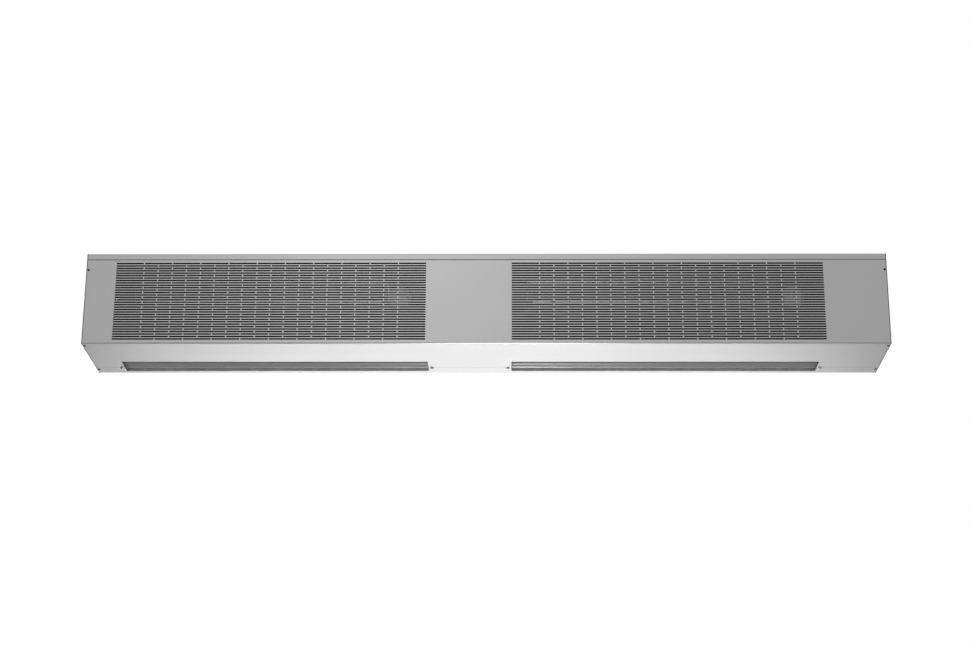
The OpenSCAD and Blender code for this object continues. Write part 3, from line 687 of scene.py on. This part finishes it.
def dress(frame: dict, finish: Finish, *nodes: str) -> None:
    """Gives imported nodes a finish, in every one of their material slots.

    Args:
        frame: The loaded frame.
        finish: The finish to give.
        nodes: The nodes' names.
    """
    for name in nodes:
        for slot in frame["nodes"][name].material_slots:
            slot.material = finish.material()
        log.info("%s: %s", name, finish.name)


def add_object(name: str, data: bpy.types.ID) -> bpy.types.Object:
    """Adds an object to the scene, at the origin.

    Args:
        name: The object's name.
        data: Its mesh, camera or light.

    Returns:
        The object.
    """
    made = bpy.data.objects.new(name, data)
    bpy.context.scene.collection.objects.link(made)
    return made


class Repeater:
    """Builds a Geometry Nodes tree with named inputs that puts one shape on many points."""

    def __init__(self, name: str) -> None:
        """Starts an empty tree.

        Args:
            name: The tree's name.
        """
        self.tree = bpy.data.node_groups.new(name, "GeometryNodeTree")
        self.graph = Graph(self.tree)
        for way in ("INPUT", "OUTPUT"):
            self.tree.interface.new_socket("Geometry", in_out=way,
                                           socket_type="NodeSocketGeometry")
        self.values: dict[str, object] = {}
        self.entry = self.tree.nodes.new("NodeGroupInput")

    def size(self, name: str, value: float) -> Socket:
        """Adds a length, or a number of turns, as a named input.

        Args:
            name: The input's name.
            value: The length or number.

        Returns:
            The socket to link from.
        """
        return self._input(name, value, "NodeSocketFloat")

    def count(self, name: str, value: int) -> Socket:
        """Adds a whole number as a named input.

        Args:
            name: The input's name.
            value: The number.

        Returns:
            The socket to link from.
        """
        return self._input(name, value, "NodeSocketInt")

    def _input(self, name: str, value: object, kind: str) -> Socket:
        """Adds a named input of a kind.

        Args:
            name: The input's name.
            value: Its value.
            kind: The socket's type.

        Returns:
            The socket to link from.
        """
        socket = self.tree.interface.new_socket(name, in_out="INPUT", socket_type=kind)
        self.values[socket.identifier] = value
        return self.entry.outputs[name]

    def run(self, name: str, places: list[Vector], shape: Socket, finish: Finish,
            **placing: Socket) -> bpy.types.Object:
        """Ends the tree, runs it on the places and turns the result into a plain mesh.

        Args:
            name: The piece's name.
            places: The points that get one shape each, in the frame.
            shape: The shape's geometry socket.
            finish: The finish of the whole piece.
            placing: More inputs of Instance on Points, such as Scale.

        Returns:
            The piece, at the origin and without a modifier.
        """
        copies = self.graph.add("GeometryNodeInstanceOnPoints", {
            "Points": self.entry.outputs["Geometry"], "Instance": shape, **placing})
        real = self.graph.add("GeometryNodeRealizeInstances", {
            "Geometry": copies.outputs["Instances"]})
        smooth = self.graph.add("GeometryNodeSetShadeSmooth", {
            "Geometry": real.outputs["Geometry"]})
        dressed = self.graph.add("GeometryNodeSetMaterial", {
            "Geometry": smooth.outputs["Geometry"], "Material": finish.material()})
        self.graph.add("NodeGroupOutput", {"Geometry": dressed.outputs["Geometry"]})

        points = bpy.data.meshes.new(name)
        points.from_pydata([tuple(place) for place in places], [], [])
        piece = add_object(name, points)
        modifier = piece.modifiers.new(self.tree.name, "NODES")
        modifier.node_group = self.tree
        for identifier, value in self.values.items():
            modifier[identifier] = value
        depsgraph = bpy.context.evaluated_depsgraph_get()
        mesh = bpy.data.meshes.new_from_object(piece.evaluated_get(depsgraph), depsgraph=depsgraph)
        piece.modifiers.clear()
        piece.data = mesh
        bpy.data.meshes.remove(points)
        mesh.name = name
        return piece


# ---------------------------------------------------------------- sub-assemblies


@dataclass
class Casing:
    """The brushed shell: rear casing, slotted cover, end panels, screws, rivets and grommet.

    The rivets stand in rivet_rows, which are shares of the shell's depth from the back.
    """

    rivet_r: float = 3.2 * MM
    rivet_h: float = 1.1 * MM
    rivet_sides: int = 20
    rivet_rings: int = 8
    rivet_rows: tuple[float, ...] = (0.25, 0.5, 0.75)
    body: str = "casing"
    bulkheads: tuple[str, ...] = ("bulkhead_left_outer", "bulkhead_left_inner",
                                  "bulkhead_right_inner", "bulkhead_right_outer")
    sheets: tuple[str, ...] = ("rear_casing", "front_cover")
    ends: tuple[str, ...] = ("end_panel_left", "end_panel_right")
    # screws made near black as painted shade round their heads
    shade_painted_screws: tuple[str, ...] = ("front_screws", "corner_screws")

    def rivet_points(self) -> list[Vector]:
        """Places the rivets over the top flanges of the bulkheads.

        Returns:
            The rivets' places on the top face.
        """
        shell = Box.of("rear_casing")
        depth = shell.high.y - shell.low.y
        return [Vector((Box.of(name).centre.x, shell.high.y - share * depth, shell.high.z))
                for name in self.bulkheads for share in self.rivet_rows]

    def build_rivets(self) -> bpy.types.Object:
        """Makes the blind rivets, each a low dome on its place.

        Returns:
            The finished piece.
        """
        tree = Repeater("rivet_rows")
        radius = tree.size("Head Radius", self.rivet_r)
        height = tree.size("Head Height", self.rivet_h)
        dome = tree.graph.add("GeometryNodeMeshUVSphere", {
            "Segments": tree.count("Sides", self.rivet_sides), "Rings": self.rivet_rings,
            "Radius": 1.0})
        return tree.run("casing_rivets", self.rivet_points(), dome.outputs["Mesh"], SCREW_STEEL,
                        Scale=tree.graph.vector(X=radius, Y=radius, Z=height))

    def build(self, frame: dict) -> None:
        """Dresses the shell and adds its rivets.

        Args:
            frame: The loaded frame.
        """
        # the sheets' painted shade inside is measured about the casing's middle
        middle = tuple(Box.of("rear_casing").centre)
        dress(frame, replace(CASING_STEEL, middle=middle), *self.sheets)
        dress(frame, END_STEEL, *self.ends)
        dress(frame, SCREW_STEEL, "cover_screws")
        # the front and corner screws' near-black steel is painted shade
        dress(frame, SCREW_SHADE_STEEL, *self.shade_painted_screws)
        dress(frame, RUBBER, "cable_grommet")
        rivets = self.build_rivets()
        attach(rivets, self.body)
        log.info("%s: %d points", rivets.name, len(rivets.data.vertices))


@dataclass
class FanSection:
    """One section's bulkheads, duct sheets, wheel, bearing, motor and small electrics."""

    side: Side

    def build(self, frame: dict) -> None:
        """Dresses the section's nodes.

        Args:
            frame: The loaded frame.
        """
        end = self.side.value
        bulkheads = [name for name in frame["nodes"] if name.startswith(f"bulkhead_{end}")]
        wheel = Box.of(f"fan_wheel_{end}")
        # the scroll also gets painted shade inside the duct past its wheel's ends
        scroll_zinc = replace(SCROLL_ZINC, name=f"scroll_zinc_{end}",
                              wheel_span=(wheel.low.x, wheel.high.x))
        # bulkheads, bracket, nuts and comb get the zinc darkened as painted shade
        dress(frame, SHADED_FRAME_ZINC, *bulkheads, f"motor_bracket_{end}", f"heater_nuts_{end}",
              f"heater_comb_{end}")
        dress(frame, scroll_zinc, f"scroll_{end}")
        dress(frame, TONGUE_ZINC, f"tongue_{end}")
        dress(frame, WHEEL_BLACK, f"fan_wheel_{end}")
        dress(frame, SHAFT_STEEL, f"wheel_shafts_{end}")
        dress(frame, BRONZE, f"bearing_{end}")
        dress(frame, RUBBER, f"bearing_rubber_{end}")
        dress(frame, MOTOR_PAINT, f"motor_{end}")
        dress(frame, CAPACITOR_CAN, f"capacitor_{end}")
        dress(frame, BROWN_PLASTIC, f"thermal_cutout_{end}")
        dress(frame, BLACK_PLASTIC, f"motor_lead_{end}")


@dataclass
class HeaterBank:
    """One section's three heater tubes, each with strips of steel wound on edge round it.

    One strip lies on each side of the comb in the middle and ends bare_end before the tube does.
    The strip's inner edge is fin_sunk deep in the tube.
    """

    side: Side
    tubes: int = 3
    tube_r: float = 4.25 * MM
    tube_sides: int = 20
    fin_t: float = 0.5 * MM
    fin_sunk: float = 0.2 * MM
    wound_pitch: float = 4.5 * MM
    steps_per_turn: int = 14
    bare_end: float = 51 * MM
    comb_room: float = 4 * MM
    body: str = "casing"

    def wind_fin(self, tree: Repeater, fin_r: float, wound: float) -> tuple[Socket, Socket]:
        """Winds one strip on edge round an upright tube, with its inner edge in the tube.

        Args:
            tree: The tree to build in.
            fin_r: The strip's outer radius.
            wound: The length of tube that it covers.

        Returns:
            The sockets of the strip's mesh and of the length that it covers.
        """
        graph = tree.graph
        wound_l = tree.size("Wound Length", wound)
        strip_h = tree.size("Strip Height", fin_r - self.tube_r + self.fin_sunk)
        strip_t = tree.size("Strip Thickness", self.fin_t)
        coil_r = tree.size("Coil Radius", (fin_r + self.tube_r) / 2 - self.fin_sunk / 2)
        turns = tree.size("Turns", wound / self.wound_pitch)
        coil = graph.add("GeometryNodeCurveSpiral", {
            "Resolution": self.steps_per_turn, "Rotations": turns, "Start Radius": coil_r,
            "End Radius": coil_r, "Height": wound_l})
        upright = graph.add("GeometryNodeSetCurveNormal", {"Curve": coil.outputs["Curve"]})
        upright.mode = "Z_UP"
        strip = graph.add("GeometryNodeCurvePrimitiveQuadrilateral", {
            "Width": strip_h, "Height": strip_t})
        fin = graph.add("GeometryNodeCurveToMesh", {
            "Curve": upright.outputs["Curve"], "Profile Curve": strip.outputs["Curve"],
            "Fill Caps": True})
        return fin.outputs["Mesh"], wound_l

    def build_tubes(self) -> bpy.types.Object:
        """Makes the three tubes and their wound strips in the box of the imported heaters.

        Returns:
            The finished piece.
        """
        end = self.side.value
        box = Box.of(f"heaters_{end}")
        fin_r = (box.high.z - box.low.z) / 2
        reach = (box.high.x - box.low.x) / 2
        first, last = box.high.y - fin_r, box.low.y + fin_r
        step = (last - first) / (self.tubes - 1)
        centre = box.centre
        places = [Vector((centre.x, first + i * step, centre.z)) for i in range(self.tubes)]

        tree = Repeater(f"wound_tubes_{end}")
        graph = tree.graph
        tube_r = tree.size("Tube Radius", self.tube_r)
        length = tree.size("Tube Length", 2 * reach)
        comb_room = tree.size("Room For Comb", self.comb_room)
        tube = graph.add("GeometryNodeMeshCylinder", {
            "Vertices": self.tube_sides, "Radius": tube_r, "Depth": length})
        fin, wound_l = self.wind_fin(tree, fin_r, reach - self.bare_end - self.comb_room / 2)
        half_room = graph.math("MULTIPLY", comb_room, 0.5)
        back = graph.math("MULTIPLY", graph.math("ADD", wound_l, half_room), -1.0)
        fins = [graph.moved(fin, Translation=graph.vector(Z=start)) for start in (half_room, back)]
        upright = graph.joined(tube.outputs["Mesh"], *fins)
        lying = graph.moved(upright, Rotation=(0.0, math.pi / 2, 0.0))
        return tree.run(f"wound_heaters_{end}", places, lying, HEATER_STEEL)

    def build(self) -> None:
        """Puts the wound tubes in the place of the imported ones."""
        piece = self.build_tubes()
        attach(piece, self.body)
        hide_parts(f"heaters_{self.side.value}")
        log.info("%s: %d faces", piece.name, len(piece.data.polygons))


@dataclass
class Outlet:
    """One outlet's two vanes with their pins, bushes and link."""

    side: Side

    def build(self, frame: dict) -> None:
        """Dresses the outlet's nodes.

        Args:
            frame: The loaded frame.
        """
        end = self.side.value
        dress(frame, VANE_SATIN, f"vane_{end}_front", f"vane_{end}_rear")
        dress(frame, BLACK_PLASTIC, f"vane_pins_{end}_front", f"vane_pins_{end}_rear",
              f"vane_bushes_{end}")
        dress(frame, SHADED_FRAME_ZINC, f"vane_link_{end}")


@dataclass
class ControlBay:
    """The plate, clamps and contactor at the right end, and the loom that runs to them.

    The cable ties hold the loom in tied_runs, its straight stretches along X. A tie's lock is
    lock_to_strap times as wide as its strap, and lock_to_ring times the ring's radius away.
    """

    tie_pitch: float = 90 * MM
    tie_t: float = 1.1 * MM
    tie_w: float = 2.6 * MM
    tie_sides: int = 24
    lock_l: float = 4.5 * MM
    lock_h: float = 3.2 * MM
    lock_to_strap: float = 1.6
    lock_to_ring: float = 1.25
    loom_r: float = 4 * MM
    loom_z: float = -36 * MM
    tied_runs: tuple[tuple[float, float], ...] = ((-60 * MM, 50 * MM), (230 * MM, 930 * MM))
    body: str = "casing"

    def tie_points(self) -> list[Vector]:
        """Spaces the cable ties evenly along the loom's straight runs.

        Returns:
            The ties' places on the loom's middle.
        """
        loom_y = Box.of("wiring_loom").low.y + self.loom_r
        places = []
        for start, end in self.tied_runs:
            gaps = math.ceil((end - start) / self.tie_pitch)
            places += [Vector((start + (end - start) * i / gaps, loom_y, self.loom_z))
                       for i in range(gaps + 1)]
        return places

    def build_ties(self) -> bpy.types.Object:
        """Makes the cable ties, each a flat ring with its lock.

        Returns:
            The finished piece.
        """
        tree = Repeater("loom_ties")
        graph = tree.graph
        ring_r = tree.size("Ring Radius", self.loom_r + self.tie_t / 2)
        strap_t = tree.size("Strap Thickness", self.tie_t)
        strap_w = tree.size("Strap Width", self.tie_w)
        ring = graph.add("GeometryNodeCurvePrimitiveCircle", {
            "Resolution": self.tie_sides, "Radius": ring_r})
        strap = graph.add("GeometryNodeCurvePrimitiveQuadrilateral", {
            "Width": strap_t, "Height": strap_w})
        band = graph.add("GeometryNodeCurveToMesh", {
            "Curve": ring.outputs["Curve"], "Profile Curve": strap.outputs["Curve"]})
        lock_w = graph.math("MULTIPLY", strap_w, self.lock_to_strap)
        lock = graph.add("GeometryNodeMeshCube", {
            "Size": graph.vector(X=self.lock_l, Y=self.lock_h, Z=lock_w)})
        out = graph.vector(Y=graph.math("MULTIPLY", ring_r, -self.lock_to_ring))
        tie = graph.joined(band.outputs["Mesh"],
                           graph.moved(lock.outputs["Mesh"], Translation=out))
        turned = graph.moved(tie, Rotation=(0.0, math.pi / 2, 0.0))
        return tree.run("loom_ties", self.tie_points(), turned, BLACK_PLASTIC)

    def build(self, frame: dict) -> None:
        """Dresses the bay and adds the cable ties.

        Args:
            frame: The loaded frame.
        """
        dress(frame, SHADED_FRAME_ZINC, "control_plate")
        dress(frame, GREY_PLASTIC, "terminal_block")
        dress(frame, BLACK_PLASTIC, "contactor")
        dress(frame, SLEEVE, "wiring_loom")
        ties = self.build_ties()
        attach(ties, self.body)
        log.info("%s: %d faces", ties.name, len(ties.data.polygons))


# ---------------------------------------------------------------- studio


@dataclass(frozen=True)
class Lamp:
    """A soft panel, seen by the object and never by the camera."""

    name: str
    place: Place
    aim: Place
    width: float
    height: float
    power: float

    def build(self) -> None:
        """Adds the panel to the scene."""
        data = bpy.data.lights.new(self.name, "AREA")
        data.shape = "ELLIPSE"
        data.size, data.size_y = self.width, self.height
        data.energy = self.power
        lamp = add_object(self.name, data)
        lamp.location = self.place
        towards = Vector(self.aim) - Vector(self.place)
        lamp.rotation_euler = towards.to_track_quat("-Z", "Y").to_euler()
        lamp.visible_camera = False


@dataclass
class Studio:
    """Camera, lamps, pale floor and white surroundings.

    The camera was fitted to the six corners of the casing's outline in the photograph, which is
    image_width pixels wide. Its focal length is in those pixels and its turns are in radians.
    """

    camera_place: Place = (0.07327, -5.0674, -1.7476)
    camera_yaw: float = 0.015331
    camera_pitch: float = 0.334883
    camera_roll: float = 0.0046154
    focal_pixels: float = 2044.5
    image_width: int = 970
    sensor: float = 36.0
    clip_end: float = 120.0
    floor_z: float = -6.5
    floor_half: float = 40.0
    floor_tone: float = 0.8
    floor_rough: tuple[float, float] = (0.75, 0.85)
    floor_cloud_scale: float = 0.7
    ambient: float = 0.8
    lamps: tuple[Lamp, ...] = (
        Lamp("front_panel", place=(-0.45, -4.4, 1.9), aim=(0.0, -0.2, 0.0),
             width=1.2, height=1.0, power=12.8),
        Lamp("under_panel", place=(-0.06, 3.1, -1.35), aim=(0.0, -0.1, -0.12),
             width=3.2, height=0.6, power=24.5),
        Lamp("outlet_fill", place=(0.07, -0.21, -0.95), aim=(0.07, -0.06, -0.12),
             width=0.4, height=0.2, power=10.5))

    def build_camera(self) -> None:
        """Sets the camera where the photograph was taken from."""
        data = bpy.data.cameras.new("camera")
        data.sensor_width = self.sensor
        data.lens = self.focal_pixels / self.image_width * self.sensor
        data.clip_end = self.clip_end
        camera = add_object("camera", data)
        turn = Matrix.Rotation(self.camera_yaw, 4, "Z")
        tilt = Matrix.Rotation(math.pi / 2 + self.camera_pitch, 4, "X")
        roll = Matrix.Rotation(self.camera_roll, 4, "Z")
        camera.matrix_world = Matrix.Translation(self.camera_place) @ turn @ tilt @ roll
        bpy.context.scene.camera = camera

    def build_world(self) -> None:
        """Makes surroundings that look white to the camera and in reflections, and light less."""
        world = bpy.data.worlds.new("surroundings")
        graph = Graph.fresh(world)
        path = graph.add("ShaderNodeLightPath")
        seen = graph.math("MAXIMUM", path.outputs["Is Camera Ray"], path.outputs["Is Glossy Ray"])
        seen = graph.math("MAXIMUM", seen, path.outputs["Is Transmission Ray"])
        back = graph.add("ShaderNodeBackground", {
            "Color": WHITE, "Strength": graph.spread(seen, self.ambient, 1.0)})
        graph.add("ShaderNodeOutputWorld", {"Surface": back.outputs["Background"]})
        bpy.context.scene.world = world

    def build_floor(self) -> None:
        """Lays the pale floor, low enough to leave room for a camera under the air curtain."""
        mesh = bpy.data.meshes.new("floor")
        half, level = self.floor_half, self.floor_z
        corners = [(-half, -half, level), (half, -half, level), (half, half, level),
                   (-half, half, level)]
        mesh.from_pydata(corners, [], [(0, 1, 2, 3)])
        floor = add_object("floor", mesh)
        material = bpy.data.materials.new("pale_floor")
        graph = Graph.fresh(material)
        place = graph.add("ShaderNodeTexCoord").outputs["Object"]
        rough = graph.spread(graph.noise(place, self.floor_cloud_scale), *self.floor_rough)
        shader = graph.add("ShaderNodeBsdfPrincipled", {
            "Base Color": (self.floor_tone, self.floor_tone, self.floor_tone, 1.0),
            "Roughness": rough})
        graph.add("ShaderNodeOutputMaterial", {"Surface": shader.outputs["BSDF"]})
        mesh.materials.append(material)

    def build(self) -> None:
        """Builds the whole studio."""
        bpy.context.scene.view_settings.view_transform = "Standard"
        self.build_camera()
        self.build_world()
        self.build_floor()
        for lamp in self.lamps:
            lamp.build()


def main() -> None:
    """Builds everything in order."""
    logging.basicConfig(level=logging.INFO, format="%(name)s: %(message)s")
    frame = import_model()
    Casing().build(frame)
    for side in Side:
        FanSection(side).build(frame)
        HeaterBank(side).build()
        Outlet(side).build(frame)
    ControlBay().build(frame)
    Studio().build()


if __name__ == "__main__":
    main()
